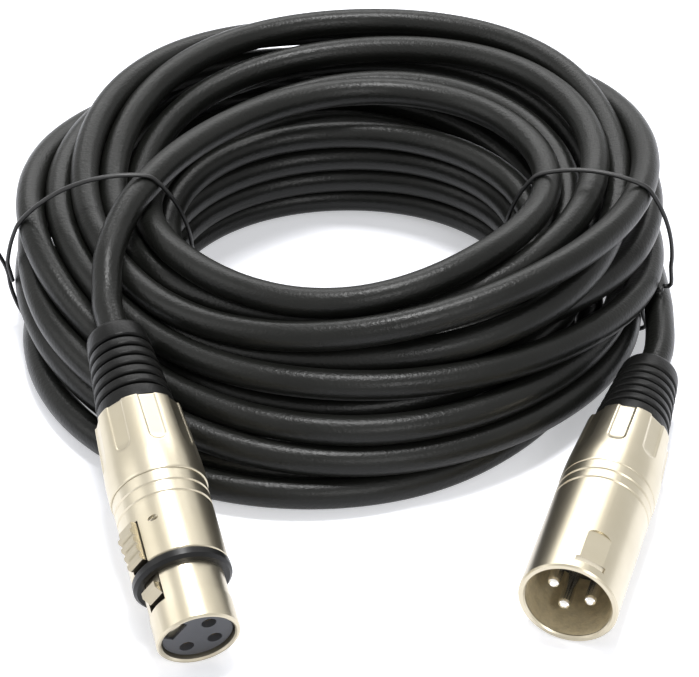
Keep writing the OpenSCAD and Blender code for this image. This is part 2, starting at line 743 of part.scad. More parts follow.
module male_lead() color([0.08, 0.08, 0.08]) lead(male_exit, male_heading, 0, male_route);

// The two ends pass side by side
module tie(loop, foot, bearing) {
    out = [cos(bearing), sin(bearing), 0];
    side = [-sin(bearing), cos(bearing), 0];
    last = len(loop) - 1;
    path = [
        for (i = [0 : last])
        foot + out * (coil_inner_r + loop[i][0]) + side * 1.4 * tie_d * (i / last - 0.5)
            + [0, 0, loop[i][1]]
    ];
    translate(-middle) tube(path, tie_d / 2, 8, side);
}

module left_tie() color([0.05, 0.05, 0.05]) tie(left_loop, left_foot, left_bearing);

module right_tie() color([0.05, 0.05, 0.05]) tie(right_loop, right_foot, right_bearing);

female_shell();
female_insert();
socket_contact(0);  // socket_contact_1
socket_contact(1);  // socket_contact_2
socket_contact(2);  // socket_contact_3
seal_ring();
latch();
latch_pivot();
latch_spring();
female_cores();
female_chuck();
female_cable_end();
female_sleeve();
female_boot();
male_shell();
male_insert();
contact_pin(0);  // contact_pin_1
contact_pin(1);  // contact_pin_2
contact_pin(2);  // contact_pin_3
male_cores();
male_chuck();
male_cable_end();
male_sleeve();
male_boot();
cable_coil();
female_lead();
male_lead();
left_tie();
right_tie();
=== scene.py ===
import json
import math
import bpy
import numpy as np
from mathutils import Matrix, Vector

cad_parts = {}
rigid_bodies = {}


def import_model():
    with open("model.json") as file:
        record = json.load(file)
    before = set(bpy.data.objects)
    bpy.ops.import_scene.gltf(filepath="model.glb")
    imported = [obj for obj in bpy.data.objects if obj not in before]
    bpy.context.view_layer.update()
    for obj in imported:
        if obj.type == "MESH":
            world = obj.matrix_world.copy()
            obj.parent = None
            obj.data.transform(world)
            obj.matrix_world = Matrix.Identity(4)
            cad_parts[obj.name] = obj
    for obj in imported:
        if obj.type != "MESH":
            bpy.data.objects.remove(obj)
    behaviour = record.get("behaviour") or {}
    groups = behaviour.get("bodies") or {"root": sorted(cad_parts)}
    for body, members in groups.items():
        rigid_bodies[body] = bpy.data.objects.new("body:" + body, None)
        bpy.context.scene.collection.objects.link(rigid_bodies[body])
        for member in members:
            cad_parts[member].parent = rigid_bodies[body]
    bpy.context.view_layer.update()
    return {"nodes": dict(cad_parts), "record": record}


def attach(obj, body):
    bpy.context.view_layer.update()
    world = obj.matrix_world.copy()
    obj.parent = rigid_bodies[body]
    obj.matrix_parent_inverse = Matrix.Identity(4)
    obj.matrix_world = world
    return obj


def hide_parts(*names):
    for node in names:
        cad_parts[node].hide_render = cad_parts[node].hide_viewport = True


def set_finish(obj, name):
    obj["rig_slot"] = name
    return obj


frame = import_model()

nodes = frame["nodes"]
mm = 0.001

# The coil's own middle in the part's frame, in millimetres. Cord points are given from it
coilMiddle = np.array([1.9, 22.035, 0.0])


def world(points):
    return (np.asarray(points, float) + coilMiddle) * mm


def unit(v):
    return v / np.linalg.norm(v)


# Camera: above the connectors, looking down over them at the coil

shot = {
    "place": (0.0035, -0.39895, 0.315),
    "pitch": 37.6,
    "lens": 122.06,
}
cameraData = bpy.data.cameras.new("camera")
cameraData.lens = shot["lens"]
cameraData.sensor_width = 36
camera = bpy.data.objects.new("camera", cameraData)
camera.location = shot["place"]
camera.rotation_euler = (math.radians(90 - shot["pitch"]), 0, 0)
bpy.context.scene.collection.objects.link(camera)
bpy.context.scene.camera = camera


# Mesh helpers

def addPiece(name, points, faces, uvs=None):
    mesh = bpy.data.meshes.new(name)
    mesh.from_pydata([tuple(p) for p in points], [], faces)
    if uvs is not None:
        layer = mesh.uv_layers.new(name="along")
        loops = np.empty(len(mesh.loops), dtype=np.int32)
        mesh.loops.foreach_get("vertex_index", loops)
        layer.data.foreach_set("uv", np.asarray(uvs, np.float32)[loops].ravel())
    mesh.shade_smooth()
    mesh.validate()
    piece = bpy.data.objects.new(name, mesh)
    bpy.context.scene.collection.objects.link(piece)
    return piece


# Smooth curve through points, perSpan samples for each span
def throughPoints(points, perSpan):
    p = np.asarray(points, float)
    q = np.vstack([2 * p[0] - p[1], p, 2 * p[-1] - p[-2]])
    u = np.linspace(0, 1, perSpan, endpoint=False)[:, None]
    spans = []
    for a, b, c, d in zip(q[:-3], q[1:-2], q[2:-1], q[3:]):
        spans.append(0.5 * (2 * b + (c - a) * u + (2 * a - 5 * b + 4 * c - d) * u ** 2
                            + (3 * b - a - 3 * c + d) * u ** 3))
    return np.vstack(spans + [p[-1:]])


def evenly(points, step):
    gaps = np.linalg.norm(np.diff(points, axis=0), axis=1)
    run = np.concatenate([[0], np.cumsum(gaps)])
    marks = np.linspace(0, run[-1], max(2, int(round(run[-1] / step))) + 1)
    return np.stack([np.interp(marks, run, points[:, k]) for k in range(3)], axis=1)


def lengthOf(points):
    return float(np.linalg.norm(np.diff(points, axis=0), axis=1).sum())


# Closed tube along path. flat squeezes it at right angles to across
def sweepTube(name, path, radius, sides, flat=1.0, across=None):
    path = np.asarray(path, float)
    tangents = np.gradient(path, axis=0)
    tangents /= np.linalg.norm(tangents, axis=1)[:, None]
    side = np.cross(tangents[0], across if across is not None else (0, 0, 1))
    side = unit(side)
    points, uvs, run = [], [], 0.0
    turn = np.linspace(0, 2 * math.pi, sides, endpoint=False)
    for i, (p, t) in enumerate(zip(path, tangents)):
        if across is not None:
            side = np.cross(t, across)
        side = unit(side - t * side.dot(t))
        other = np.cross(t, side)
        if i:
            run += np.linalg.norm(p - path[i - 1])
        points.append(p + radius * (flat * np.cos(turn)[:, None] * side + np.sin(turn)[:, None] * other))
        uvs += [(run, k / sides) for k in range(sides)]
    n = len(path)
    faces = [
        (i * sides + k, i * sides + (k + 1) % sides, (i + 1) * sides + (k + 1) % sides, (i + 1) * sides + k)
        for i in range(n - 1) for k in range(sides)
    ]
    faces.append(tuple(range(sides - 1, -1, -1)))
    faces.append(tuple((n - 1) * sides + k for k in range(sides)))
    return addPiece(name, np.vstack(points), faces, uvs)


# Cable: from the socket's boot, round the coil, to the plug's boot

cable = {
    "radius": 3.1,
    "straight": 8.0,
    "exitFemale": (-45.4, -43.7, 24.964),
    "headFemale": (-0.2678, 0.9339, 0.2368),
    "exitMale": (63.9, -36.6, 9.6),
    "headMale": (0.3090, 0.9511, 0.0),
    "roomAlong": [-6.2, 15.5, 15.6, 34.0],
    "roomRadius": [5.9, 7.95, 8.75, 9.65],
    "routeFemale": [(-48, -25.2, 29.6), (-47, -17.5, 31.4), (-44.2, -9.2, 33.3), (-39.9, -1.3, 34.1)],
    "routeMale": [
        (67.5, -21.5, 9.5), (67.1, -14, 9.2), (66.6, -6.5, 8.8), (67.2, 3, 8.2),
        (67.2, 12.9, 7.4), (64.9, 22.4, 6.6), (61.1, 31.4, 5.7),
    ],
    "leadSpans": 6,
    "drawSpans": 4,
    "drawStep": 2.0,
    "sides": 20,
}

# How the line settles: lengths in millimetres, reaches in steps or cable widths, bends as shares
settling = {
    "step": 4.0,
    "rounds": 160,
    "hold": 0.02,
    "fixedEnds": 14,
    "relistEvery": 5,
    "skipAlong": 3,
    "nearReach": 1.6,
    "nearExtra": 2,
    "touchReach": 0.75,
    "shortBend": 0.0375,
    "longBend": 0.03,
}

# Where each turn runs: radius and height at eight places round it, from the left by the back.
# Most pairs were written by a separate fitting program, and the rest were then changed by hand
turns = [
    [
        (36.5, 34.5), (31.7, 34.3), (36.4, 33.1), (42.5, 33.1),
        (44.5, 33.9), (42.3, 35.8), (44.2, 32.5), (41.4, 30.6),
    ],
    [
        (42.9, 27.6), (41.5, 25.8), (45.8, 29), (49.5, 30.3),
        (48.9, 28.4), (42.8, 24.9), (37.5, 21.1), (38.6, 19.9),
    ],
    [
        (39, 20.5), (38.2, 21.8), (34.3, 22.8), (36.4, 24.2),
        (41.5, 23.3), (43.4, 18.7), (43.8, 15.1), (41, 12.3),
    ],
    [
        (40.4, 14), (38, 15.4), (34.6, 16.5), (37.6, 18),
        (40.8, 18.4), (40.2, 16.7), (37.6, 13.3), (39.6, 10.1),
    ],
    [
        (40.6, 8.8), (38.8, 9.2), (35.1, 10.3), (38.4, 11.8),
        (41.2, 12.2), (40.4, 10.5), (37.6, 7.1), (39.4, 4.2),
    ],
    [
        (41.8, 3.2), (39.8, 3.7), (36.4, 4.1), (38.6, 5.5),
        (42.5, 6.5), (42.5, 7.4), (43.4, 7.2), (43.8, 5.6),
    ],
    [
        (44.2, 3.9), (45.5, 15), (46.3, 19.2), (46, 15),
        (47.9, 6), (52.3, 4.6), (61.1, 3.2), (65.1, 7.9),
    ],
    [
        (68.5, 12.8), (66.1, 11.1), (62.7, 5.2), (57.1, 8.9),
        (54.2, 3.5), (59.2, 3.1), (67.4, 4), (71, 4.2),
    ],
    [
        (65.7, 3.1), (58.3, 3.1), (55.2, 3.1), (56.5, 3.1),
        (62.7, 3.9), (63.1, 7.9), (65.1, 9.9), (65.5, 14.5),
    ],
    [
        (67, 20.1), (70.3, 15.8), (69.4, 10), (65.9, 10.1),
        (62.1, 10.7), (60.7, 13.6), (62.5, 15.5), (59.4, 16.5),
    ],
    [
        (67.5, 27), (69, 21.9), (69.9, 16.2), (68.9, 15.5),
        (67.6, 13.7), (59.1, 19.6), (55.8, 22.4), (54.2, 20.9),
    ],
    [
        (61.2, 26.8), (66, 27.4), (68, 22.7), (70.2, 29.6),
        (64.5, 34.2), (53.7, 34.7), (50, 30), (49.5, 24.9),
    ],
    [
        (55.4, 28.8), (64.1, 33.4), (70.3, 28.4), (73.6, 24.2),
        (66.3, 22), (50.5, 23), (43.7, 21.4), (41.9, 18.4),
    ],
    [
        (44.8, 20.2), (52.2, 28.2), (55.9, 31.5), (58.5, 35.3),
        (54.2, 34.9), (45.5, 30.7), (40.7, 26.9), (42, 24.5),
    ],
    [
        (48.9, 25.7), (57.8, 33.8), (64.8, 34.3), (66.9, 35.1),
        (59.1, 30.9), (56.3, 27.2), (49.7, 23.7), (48.2, 18.8),
    ],
    [
        (51.4, 19.9), (57, 24.3), (60.6, 27), (61.5, 27.4),
        (54.5, 22), (52.6, 15.8), (53.7, 14), (53.3, 13.8),
    ],
    [
        (55.2, 14.6), (53.8, 18.7), (51.4, 21.6), (48.5, 20.1),
        (47.1, 15), (48.4, 8.6), (51.1, 8.4), (55.4, 7.9),
    ],
    [(60.6, 9.3), (65.5, 4.9), (68.6, 3.1), (68.4, 4.4)],
]
coilStart = (0.02, 36.5, 34.5)
coilEnd = (17.4014, 68.5, 5.1)
placesPerTurn = 8
marksPerTurn = 48


# Centre line of the whole lead before it settles
def layTurns():
    stations = [coilStart]
    for k, row in enumerate(turns):
        for j, (r, z) in enumerate(row):
            turn = k + j / placesPerTurn
            if coilStart[0] < turn < coilEnd[0]:
                stations.append((turn, r, z))
    stations = np.array(stations + [coilEnd])
    at = stations[:, 0]
    marks = np.append(np.arange(at[0], at[-1], 1 / marksPerTurn), at[-1])
    i = np.clip(np.searchsorted(at, marks, side="right") - 1, 0, len(at) - 2)
    gap = at[i + 1] - at[i]
    u = (marks - at[i]) / gap

    def eased(values):
        slope = np.gradient(values, at)
        return ((2 * u ** 3 - 3 * u ** 2 + 1) * values[i] + (u ** 3 - 2 * u ** 2 + u) * gap * slope[i]
                + (3 * u ** 2 - 2 * u ** 3) * values[i + 1] + (u ** 3 - u ** 2) * gap * slope[i + 1])

    r, z = eased(stations[:, 1]), eased(stations[:, 2])
    angle = np.radians(180 - 360 * marks)
    coil = np.stack([r * np.cos(angle), r * np.sin(angle), z], axis=1)
    ends = []
    for name in ("Female", "Male"):
        out = np.array(cable["exit" + name])
        head = np.array(cable["head" + name])
        run = cable["straight"]
        straight = [out, out + head * run / 2, out + head * run]
        ends.append(throughPoints(straight + cable["route" + name], cable["leadSpans"]))
    return np.vstack([ends[0][:-1], coil, ends[1][::-1][1:]])


# Moves the line out of the room that each boot and sleeve needs, also when drawn back
def keepClear(line, free):
    for name in ("Female", "Male"):
        head = unit(np.array(cable["head" + name]))
        off = line - np.array(cable["exit" + name])
        along = off @ head
        off = off - along[:, None] * head
        gap = np.linalg.norm(off, axis=1)
        need = np.interp(-along, cable["roomAlong"], cable["roomRadius"]) + cable["radius"]
        inside = (gap < need) & (-along > cable["roomAlong"][0]) & (-along < cable["roomAlong"][-1])
        line += free * np.where(inside, (need - gap) / (gap + 1e-9), 0)[:, None] * off


# Pushes touching turns apart and evens out bends, with the line held near its own place
def settle(path):
    step = settling["step"]
    width = 2 * cable["radius"]
    rest = evenly(path, step)
    line = rest.copy()
    count = len(line)
    free = np.ones(count)
    ends = int(settling["fixedEnds"] / step) + 1
    free[:ends] = 0
    free[-ends:] = 0
    free = free[:, None]
    apart = int(math.ceil(settling["skipAlong"] * width / step))
    reach = settling["nearReach"] * width + settling["nearExtra"]
    index = np.arange(count)
    for turn in range(settling["rounds"]):
        if turn % settling["relistEvery"] == 0:
            square = (line ** 2).sum(1)
            near = square[:, None] + square[None, :] - 2 * line @ line.T < reach ** 2
            one, two = np.where(near & (index[None, :] - index[:, None] > apart))
        tangent = np.gradient(line, axis=0)
        tangent /= np.linalg.norm(tangent, axis=1)[:, None]
        between = line[two] - line[one]
        same = np.sign((tangent[one] * tangent[two]).sum(1))[:, None]
        mean = tangent[one] + same * tangent[two]
        mean /= np.linalg.norm(mean, axis=1)[:, None]
        along = (between * mean).sum(1)
        across = between - along[:, None] * mean
        gap = np.linalg.norm(across, axis=1) + 1e-9
        hit = (gap < width) & (np.abs(along) < step * settling["touchReach"])
        shove = across[hit] / gap[hit][:, None] * ((width - gap[hit]) / 2)[:, None]
        push = np.zeros_like(line)
        np.add.at(push, one[hit], -shove)
        np.add.at(push, two[hit], shove)
        hits = np.bincount(one[hit], minlength=count) + np.bincount(two[hit], minlength=count)
        line += free * push / np.maximum(hits, 1)[:, None]
        bend = np.zeros_like(line)
        bend[2:-2] = 4 * line[1:-3] - line[:-4] - 6 * line[2:-2] + 4 * line[3:-1] - line[4:]
        line += free * bend * settling["shortBend"]
        stiff = np.zeros_like(line)
        stiff[6:-6] = 4 * line[3:-9] - line[:-12] - 6 * line[6:-6] + 4 * line[9:-3] - line[12:]
        line += free * stiff * settling["longBend"]
        line += free * settling["hold"] * (rest - line)
        keepClear(line, free)
        line[:, 2] = np.maximum(line[:, 2], width / 2)
    return line


settled = settle(layTurns())
cablePath = evenly(throughPoints(settled, cable["drawSpans"]), cable["drawStep"])
cableLine = world(cablePath)
cablePiece = sweepTube("cable", cableLine, cable["radius"] * mm, cable["sides"])
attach(cablePiece, "root")
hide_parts("cable_coil", "female_lead", "male_lead")
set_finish(cablePiece, "cable_jacket")
print("cable", round(lengthOf(cableLine), 3), "m")


# Connector frames: z runs from the mating face to the rear, x towards the key

def turnAbout(axis, degrees):
    return np.array(Matrix.Rotation(math.radians(degrees), 3, axis))


def connectorFrame(out, heading, tilt, roll, length):
    turn = turnAbout("Z", heading) @ turnAbout("X", tilt - 90) @ turnAbout("Z", roll - 90)
    return turn, np.array(out) + coilMiddle - turn @ np.array([0, 0, length])


placing = {
    "female": {"heading": 16, "tilt": 13.7, "roll": -58, "length": 73},
    "male": {"heading": -18, "tilt": 0, "roll": 20, "length": 71.5},
}
connectors = {
    "female": connectorFrame(cable["exitFemale"], **placing["female"]),
    "male": connectorFrame(cable["exitMale"], **placing["male"]),
}
sleeveFront = {"female": 32.5, "male": 31.0}


def inFrame(which, points, rise=0.0):
    turn, origin = connectors[which]
    local = np.asarray(points, float) + np.array([0, 0, rise])
    return (local @ turn.T + origin) * mm


# Rings of a turned body. change moves a radius by angle and length
def turnedPoints(outline, sides, change=None):
    angle = np.linspace(0, 2 * math.pi, sides, endpoint=False)
    outline = np.asarray(outline, float)
    r = np.repeat(outline[:, :1], sides, axis=1)
    z = np.repeat(outline[:, 1:], sides, axis=1)
    if change is not None:
        r = change(r, angle[None, :], z)
    return np.stack([r * np.cos(angle), r * np.sin(angle), z], axis=2).reshape(-1, 3)


def turnedFaces(rows, sides):
    faces = []
    for i in range(rows):
        here, beyond = i * sides, (i + 1) % rows * sides
        for k in range(sides):
            n = (k + 1) % sides
            faces.append((here + k, here + n, beyond + n, beyond + k))
    return faces


# Closed outline with each corner rounded. radius may be one number or one per corner
def rounded(outline, radius, steps=4):
    outline = np.asarray(outline, float)
    n = len(outline)
    radii = [radius] * n if np.isscalar(radius) else radius
    out = []
    for i, p in enumerate(outline):
        before, after = outline[i - 1] - p, outline[(i + 1) % n] - p
        reach = min(radii[i], 0.45 * np.linalg.norm(before), 0.45 * np.linalg.norm(after))
        a, b = p + unit(before) * reach, p + unit(after) * reach
        for u in np.linspace(0, 1, steps + 1):
            out.append((1 - u) ** 2 * a + 2 * u * (1 - u) * p + u ** 2 * b)
    return np.array(out)


# Closed outline with no gap longer than step
def densify(outline, step):
    out = []
    for a, b in zip(outline, np.roll(outline, -1, axis=0)):
        parts = max(1, int(math.ceil(np.linalg.norm(b - a) / step)))
        out += [a + (b - a) * k / parts for k in range(parts)]
    return np.array(out)


# Boots: soft rubber with rounded rings

boot = {
    "frontRadius": 7.9,
    "rearRadius": 5.95,
    "bore": 3.24,
    "start": 19.05,
    "end": 40.5,
    "firstGroove": 22.2,
    "pitch": 2.583,
    "grooves": 6,
    "depth": 0.8,
    "width": 0.7,
    "floor": (0.3, 0.4),
    "crown": 0.08,
    "sides": 96,
    "grooveRadii": [0.5, 0.1, 0.1, 0.5],
    "rearGap": 0.02,
    "rearRadii": [2.2, 0.3],
    "flangeRadii": [0.1, 0.15, 0.15, 0.1, 0.05, 0.4],
    "hollowRadii": [0.1, 0.1],
    "flange": [(6.2, 12.55), (7.49, 12.55), (7.49, 14.55), (7.0, 14.55), (7.0, 19.05), (7.9, 19.05)],
    "hollow": [(3.24, 15.02), (5.2, 13.0)],
}


def bootWall(z):
    share = max(0, z - boot["start"]) / (boot["end"] - boot["start"])
    return boot["frontRadius"] + (boot["rearRadius"] - boot["frontRadius"]) * share


# Ribs between narrow grooves, from the flange inside the sleeve to the rounded rear and back
def bootOutline():
    points = list(boot["flange"])
    radii = list(boot["flangeRadii"])
    for i in range(boot["grooves"]):
        z = boot["firstGroove"] + i * boot["pitch"]
        r = bootWall(z)
        low = r - boot["depth"]
        points += [(r, z)] + [(low, z + ahead) for ahead in boot["floor"]]
        points.append((r + boot["crown"], z + boot["width"]))
        radii += boot["grooveRadii"]
    rear = boot["end"] - boot["rearGap"]
    points += [(boot["rearRadius"], rear), (boot["bore"], rear)]
    radii += boot["rearRadii"]
    points += boot["hollow"]
    radii += boot["hollowRadii"]
    return rounded(points, radii)


for which in ("female", "male"):
    outline = bootOutline()
    skin = turnedPoints(outline, boot["sides"])
    piece = addPiece(which + "BootSkin", inFrame(which, skin, sleeveFront[which]),
                     turnedFaces(len(outline), boot["sides"]))
    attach(piece, which + "_boot")
    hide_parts(which + "_boot")
    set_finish(piece, "boot_rubber")
print("boots")


# Rear sleeves with scooped finger flutes

sleeve = {
    "neck": 6.9,
    "neckRadius": 8.42,
    "inner": 7.57,
    "face": 0.05,
    "straight": 4.5,
    "rearRadius": 8.68,
    "lipBore": 7.08,
    "lipStart": 14.6,
    "length": 19.0,
    "front": 9.6,
    "flutes": 8,
    "fluteWidth": 3.8,
    "fluteLength": 12.0,
    "fluteDepth": 0.45,
    "fluteEdge": 0.22,
    "dishRim": 0.55,
    "dishMiddle": 0.45,
    "bareFront": 1,
    "outsideFrom": 0.3,
    "cornerRadii": [0.1, 0.3, 0.1, 0.3, 3.0, 0.35, 0.15, 0.1, 0.1],
    "skinStep": 0.3,
    "sides": 288,
}


# Lowers the skin inside each flute: flat along, dished across, round at its front end
def scoop(r, angle, z):
    outside = r > sleeve["lipBore"] + sleeve["outsideFrom"]
    pitch = 2 * math.pi / sleeve["flutes"]
    offset = (angle / pitch) % 1 - 0.5
    across = np.abs(offset) * pitch * r / (sleeve["fluteWidth"] / 2)
    tip = sleeve["length"] - sleeve["fluteLength"] + sleeve["fluteWidth"] / 2
    ahead = np.clip((tip - z) / (sleeve["fluteWidth"] / 2), 0, None)
    off = np.sqrt(across ** 2 + ahead ** 2)
    inside = np.clip((1 - off) / sleeve["fluteEdge"], 0, 1)
    inside = inside * inside * (3 - 2 * inside)
    dish = sleeve["dishRim"] + sleeve["dishMiddle"] * np.clip(1 - off ** 2, 0, 1)
    live = outside & (z > sleeve["bareFront"])
    return np.where(live, r - sleeve["fluteDepth"] * inside * dish, r)


def sleeveOutline():
    s = sleeve
    corners = [
        (s["inner"], -s["neck"]), (s["neckRadius"], -s["neck"]), (s["neckRadius"], s["face"]),
        (s["front"], s["face"]), (s["front"], s["straight"]), (s["rearRadius"], s["length"]),
        (s["lipBore"], s["length"]), (s["lipBore"], s["lipStart"]), (s["inner"], s["lipStart"]),
    ]
    return densify(rounded(corners, s["cornerRadii"]), s["skinStep"])


for which in ("female", "male"):
    outline = sleeveOutline()
    skin = turnedPoints(outline, sleeve["sides"], scoop)
    piece = addPiece(which + "SleeveSkin", inFrame(which, skin, sleeveFront[which]),
                     turnedFaces(len(outline), sleeve["sides"]))
    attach(piece, which + "_sleeve")
    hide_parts(which + "_sleeve")
    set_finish(piece, "nickel")
print("sleeves")


# Inner wall of the plug's mouth, left rough from casting and made lighter than the shell as painted light for
# the light bouncing inside the mouth; the latch slot stays open

mouth = {
    "radius": 8.17,
    "stations": [0.5, 1.9, 3.4, 9.0, 15.9],
    "sides": 72,
    "slotSpan": 1,
    "slotHalf": 22.0,
}
sides = mouth["sides"]
wall = turnedPoints([(mouth["radius"], z) for z in mouth["stations"]], sides)
wallFaces = []
for i in range(len(mouth["stations"]) - 1):
    for k in range(sides):
        bearing = abs((k + 0.5) * 360 / sides + 180) % 360 - 180
        if i == mouth["slotSpan"] and abs(bearing) < mouth["slotHalf"]:
            continue
        here, beyond, n = i * sides, (i + 1) * sides, (k + 1) % sides
        wallFaces.append((here + k, beyond + k, beyond + n, here + n))
piece = addPiece("maleMouthWall", inFrame("male", wall), wallFaces)
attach(piece, "root")
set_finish(piece, "nickel")
piece["wall"] = "rough"
print("mouth wall")


# Bare metal of the socket's earth plate, seen through the keyway

earthPlate = {
    "floor": 4.0,
    "radius": 6.7,
    "half": 2.4,
    "front": 1.25,
    "thick": 0.4,
    "wave": 0.15,
    "steps": 13,
}
plate = earthPlate
reach = math.asin(plate["half"] / plate["radius"])
bearings = np.linspace(-reach, reach, plate["steps"])
arc = [(plate["radius"] * math.cos(a), plate["radius"] * math.sin(a)) for a in bearings]
border = [(plate["floor"], -plate["half"])] + arc + [(plate["floor"], plate["half"])]
points = []
for depth in (0, plate["thick"]):
    for x, y in border:
        points.append((x, y, plate["front"] + plate["wave"] * abs(y) / plate["half"] + depth))
n = len(border)
faces = [tuple(range(n)), tuple(range(2 * n - 1, n - 1, -1))]
faces += [(k, n + k, n + (k + 1) % n, (k + 1) % n) for k in range(n)]
piece = addPiece("earthPlate", inFrame("female", points), faces)
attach(piece, "root")
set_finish(piece, "nickel")
print("earth plate")


# Twist ties, drawn round the turns in their own planes

ties = {
    "left": {
        "bearing": 186, "foot": (0, 0), "start": 15,
        "tails": [[(76.0, 24.0), (74.2, 19.5), (72.9, 16.0)], [(71.9, 15.5), (71.5, 13.0)]],
    },
    "right": {
        "bearing": -14, "foot": (0, 6.2), "start": 1.0,
        "tails": [
            [(71.2, 13.3), (69.4, 12.7), (67.5, 11.2), (66.8, 8.8), (67.4, 5.6), (68.0, 2.4)],
            [(72.6, 13.6), (70.9, 12.9)],
        ],
    },
    "radius": 0.6,
    "snug": 0.8,
    "bow": 30.0,
    "leadPoints": 50,
    "outside": 54,
    "endHeight": 16.5,
    "degrees": 3,
    "spans": 6,
    "apart": 0.7,
    "drawStep": 0.7,
    "sides": 12,
    "flat": 0.75,
}


# Where the turns pass through a tie's plane, as distance out and height. The plug's lead stays out
def crossings(foot, out, side):
    held = cablePath[:-ties["leadPoints"]]
    off = (held[:, :2] - foot) @ side
    reach = (held[:, :2] - foot) @ out
    found = []
    for i in np.where((off[:-1] * off[1:] <= 0) & (reach[:-1] > 0))[0]:
        u = off[i] / (off[i] - off[i + 1])
        height = held[i, 2] + u * (held[i + 1, 2] - held[i, 2])
        found.append((reach[i] + u * (reach[i + 1] - reach[i]), height))
    return np.array(found)


# How far a ray from the origin runs inside circles
def runInside(centres, radius, rays):
    b = rays @ centres.T
    return b + np.sqrt(np.maximum(b ** 2 - (centres ** 2).sum(1) + radius ** 2, 0))


# Springy wire round circles: free stretches bow outwards with the radius bow
def bowedRound(centres, radius, bow):
    middle = (centres.min(axis=0) + centres.max(axis=0)) / 2
    angle = np.radians(np.arange(0, 360, ties["degrees"]))
    rays = np.stack([np.cos(angle), np.sin(angle)], axis=1)
    hubs = rays * runInside(centres - middle, bow - radius, rays).min(axis=1)[:, None]
    return middle + rays * runInside(hubs, bow, rays).min(axis=1)[:, None]


for name in ("left", "right"):
    tie = ties[name]
    bearing = math.radians(tie["bearing"])
    out = np.array([math.cos(bearing), math.sin(bearing)])
    side = np.array([-math.sin(bearing), math.cos(bearing)])
    foot = np.array(tie["foot"], float)
    hug = cable["radius"] + ties["radius"] * ties["snug"]
    loop = bowedRound(crossings(foot, out, side), hug, ties["bow"])
    loop[:, 1] = np.maximum(loop[:, 1], ties["radius"])
    loop = loop[::-1]
    fromStart = np.abs(loop[:, 1] - tie["start"])
    low = int(np.argmin(np.where(loop[:, 0] > ties["outside"], fromStart, np.inf)))
    loop = np.roll(loop, -low, axis=0)
    top = int(np.argmax(loop[:, 1]))
    loop = loop[(loop[:, 1] > ties["endHeight"]) | (np.arange(len(loop)) < top)]
    flat = np.vstack([tie["tails"][0], loop[1::2], tie["tails"][1]])
    shift = np.linspace(-ties["apart"], ties["apart"], len(flat))[:, None] * 2 * ties["radius"]
    line = np.zeros((len(flat), 3))
    line[:, :2] = foot + flat[:, :1] * out + shift * side
    line[:, 2] = flat[:, 1]
    route = world(evenly(throughPoints(line, ties["spans"]), ties["drawStep"]))
    piece = sweepTube(name + "TieWire", route, ties["radius"] * mm, ties["sides"],
                      flat=ties["flat"], across=(side[0], side[1], 0))
    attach(piece, "root")
    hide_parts(name + "_tie")
    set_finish(piece, "tie_plastic")
print("ties")


# Materials

def addNode(tree, kind, **values):
    node = tree.nodes.new(kind)
    for key, value in values.items():
        if key in node.inputs:
            node.inputs[key].default_value = value
        else:
            setattr(node, key, value)
    return node


def newGroup(name, inputs, output, kind):
    group = bpy.data.node_groups.new(name, "ShaderNodeTree")
    for title, value in inputs.items():
        group.interface.new_socket(title, in_out="INPUT", socket_type="NodeSocketFloat").default_value = value
    group.interface.new_socket(output, in_out="OUTPUT", socket_type=kind)
    start = group.nodes.new("NodeGroupInput")
    place = group.nodes.new("ShaderNodeTexCoord")
    end = group.nodes.new("NodeGroupOutput")
    return group, start, place, end


# Mask: broad soft patches from 0 to 1
unevenTone, start, place, end = newGroup("unevenTone", {"Scale": 60.0}, "Mask", "NodeSocketFloat")
noise = addNode(unevenTone, "ShaderNodeTexNoise", Detail=3.0, Roughness=0.6)
spread = unevenTone.nodes.new("ShaderNodeMapRange")
spread.inputs["From Min"].default_value = 0.3
spread.inputs["From Max"].default_value = 0.7
unevenTone.links.new(place.outputs["Object"], noise.inputs["Vector"])
unevenTone.links.new(start.outputs["Scale"], noise.inputs["Scale"])
unevenTone.links.new(noise.outputs["Fac"], spread.inputs["Value"])
unevenTone.links.new(spread.outputs["Result"], end.inputs["Mask"])

# Normal: fine pebbled relief
reliefInputs = {"Scale": 1200.0, "Strength": 0.2, "Distance": 0.00005}
fineRelief, start, place, end = newGroup("fineRelief", reliefInputs, "Normal", "NodeSocketVector")
noise = addNode(fineRelief, "ShaderNodeTexNoise", Detail=2.0, Roughness=0.5)
bump = fineRelief.nodes.new("ShaderNodeBump")
fineRelief.links.new(place.outputs["Object"], noise.inputs["Vector"])
fineRelief.links.new(start.outputs["Scale"], noise.inputs["Scale"])
fineRelief.links.new(start.outputs["Strength"], bump.inputs["Strength"])
fineRelief.links.new(start.outputs["Distance"], bump.inputs["Distance"])
fineRelief.links.new(noise.outputs["Fac"], bump.inputs["Height"])
fineRelief.links.new(bump.outputs["Normal"], end.inputs["Normal"])

